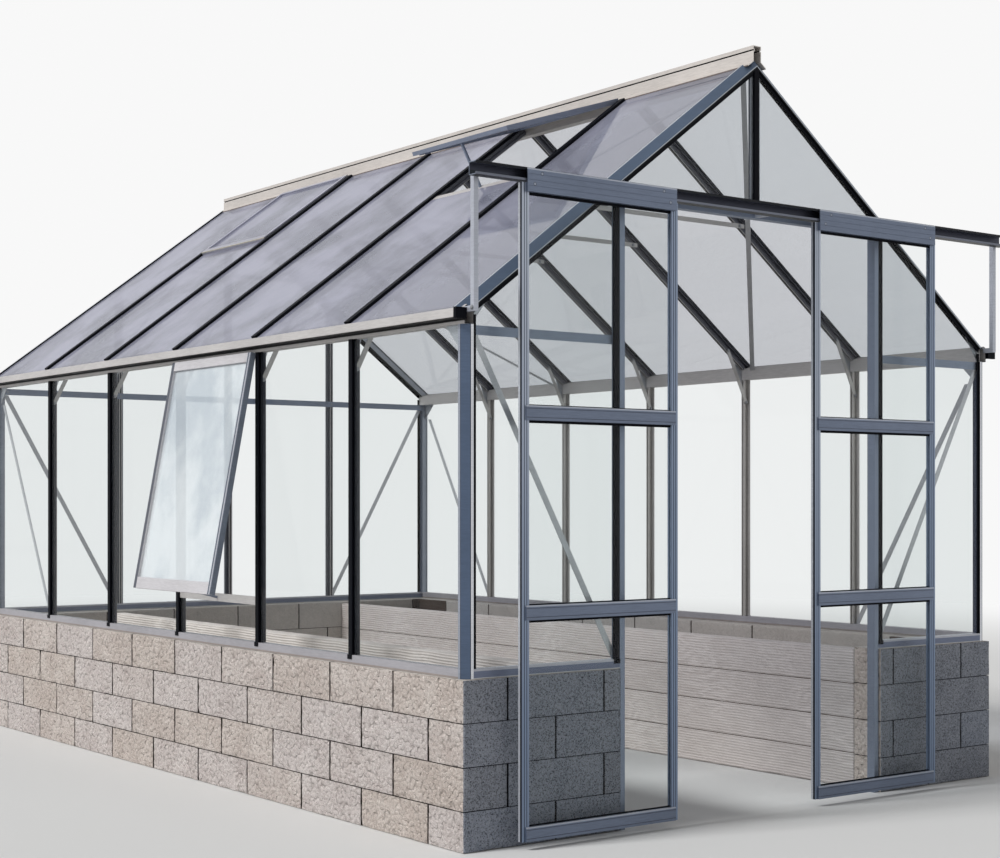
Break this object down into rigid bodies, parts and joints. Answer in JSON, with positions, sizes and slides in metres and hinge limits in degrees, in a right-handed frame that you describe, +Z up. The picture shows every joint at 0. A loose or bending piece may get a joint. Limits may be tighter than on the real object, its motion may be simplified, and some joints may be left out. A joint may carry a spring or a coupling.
{
  "type": "glass greenhouse",
  "caption": "Aluminium-framed glass greenhouse on a low block wall, with a hung pair of sliding doors, opening roof vents, a side window and planting beds inside.",
  "frame": {"origin": "middle of the rear wall's underside, on the ground", "axes": "+Z up, +Y along the ridge towards the rear gable, so the doorway faces -Y; +X to the right seen from the doorway side"},
  "size_m": [3.154, 4.6, 3.065],
  "materials": {
    "wall_blocks": "matte split-face concrete block",
    "bed_blocks": "matte fair-faced block",
    "frame_aluminium": "satin mill finish",
    "trim_aluminium": "satin mill finish",
    "door_aluminium": "satin mill finish with rolled grooves",
    "brace_bar": "satin flat bar",
    "bar_cap": "satin black",
    "clear_glass": "clear float glass",
    "roof_glass": "dusty glass",
    "roller": "matt"
  },
  "bodies": {
    "root": {"collar_ties": "brace_bar", "corner_posts": "frame_aluminium", "door_jambs": "frame_aluminium", "door_rail": "trim_aluminium", "front_gable_glass": "clear_glass", "front_wall_left": "wall_blocks", "front_wall_right": "wall_blocks", "gable_posts": "frame_aluminium", "gable_sills": "frame_aluminium", "gable_ties": "brace_bar", "gusset_plates": "brace_bar", "gutter_end_caps": "bar_cap", "knee_braces": "brace_bar", "left_bed_wall": "bed_blocks", "left_eave_beam": "trim_aluminium", "left_gable_rafters": "frame_aluminium", "left_roof_glass": "roof_glass", "left_wall": "wall_blocks", "left_wall_glass": "clear_glass", "opening_sills": "frame_aluminium", "opening_stays": "brace_bar", "rafters": "frame_aluminium", "rail_supports": "brace_bar", "rear_gable_glass": "clear_glass", "rear_wall": "wall_blocks", "ridge_beam": "frame_aluminium", "ridge_cap": "trim_aluminium", "right_bed_wall": "bed_blocks", "right_eave_beam": "trim_aluminium", "right_gable_rafters": "frame_aluminium", "right_roof_glass": "roof_glass", "right_wall": "wall_blocks", "right_wall_glass": "clear_glass", "roof_bar_caps": "bar_cap", "roof_braces": "brace_bar", "roof_vent_frames": "door_aluminium", "roof_vent_glass": "clear_glass", "side_posts": "frame_aluminium", "side_sills": "frame_aluminium", "side_window_frame": "door_aluminium", "side_window_glass": "clear_glass", "wall_bar_caps": "bar_cap", "wall_braces": "brace_bar"},
    "left_door": {"left_door_glass": "clear_glass", "left_door_rails": "door_aluminium", "left_door_rollers": "roller", "left_door_stiles": "door_aluminium"},
    "right_door": {"right_door_glass": "clear_glass", "right_door_rails": "door_aluminium", "right_door_rollers": "roller", "right_door_stiles": "door_aluminium"}
  },
  "joints": [
    {"name": "left_door_slide", "type": "slide", "parent": "root", "child": "left_door", "axis": [1, 0, 0], "range_m": [-0.19, 0.512]},
    {"name": "right_door_slide", "type": "slide", "parent": "root", "child": "right_door", "axis": [1, 0, 0], "range_m": [-0.234, 0.468]}
  ]
}
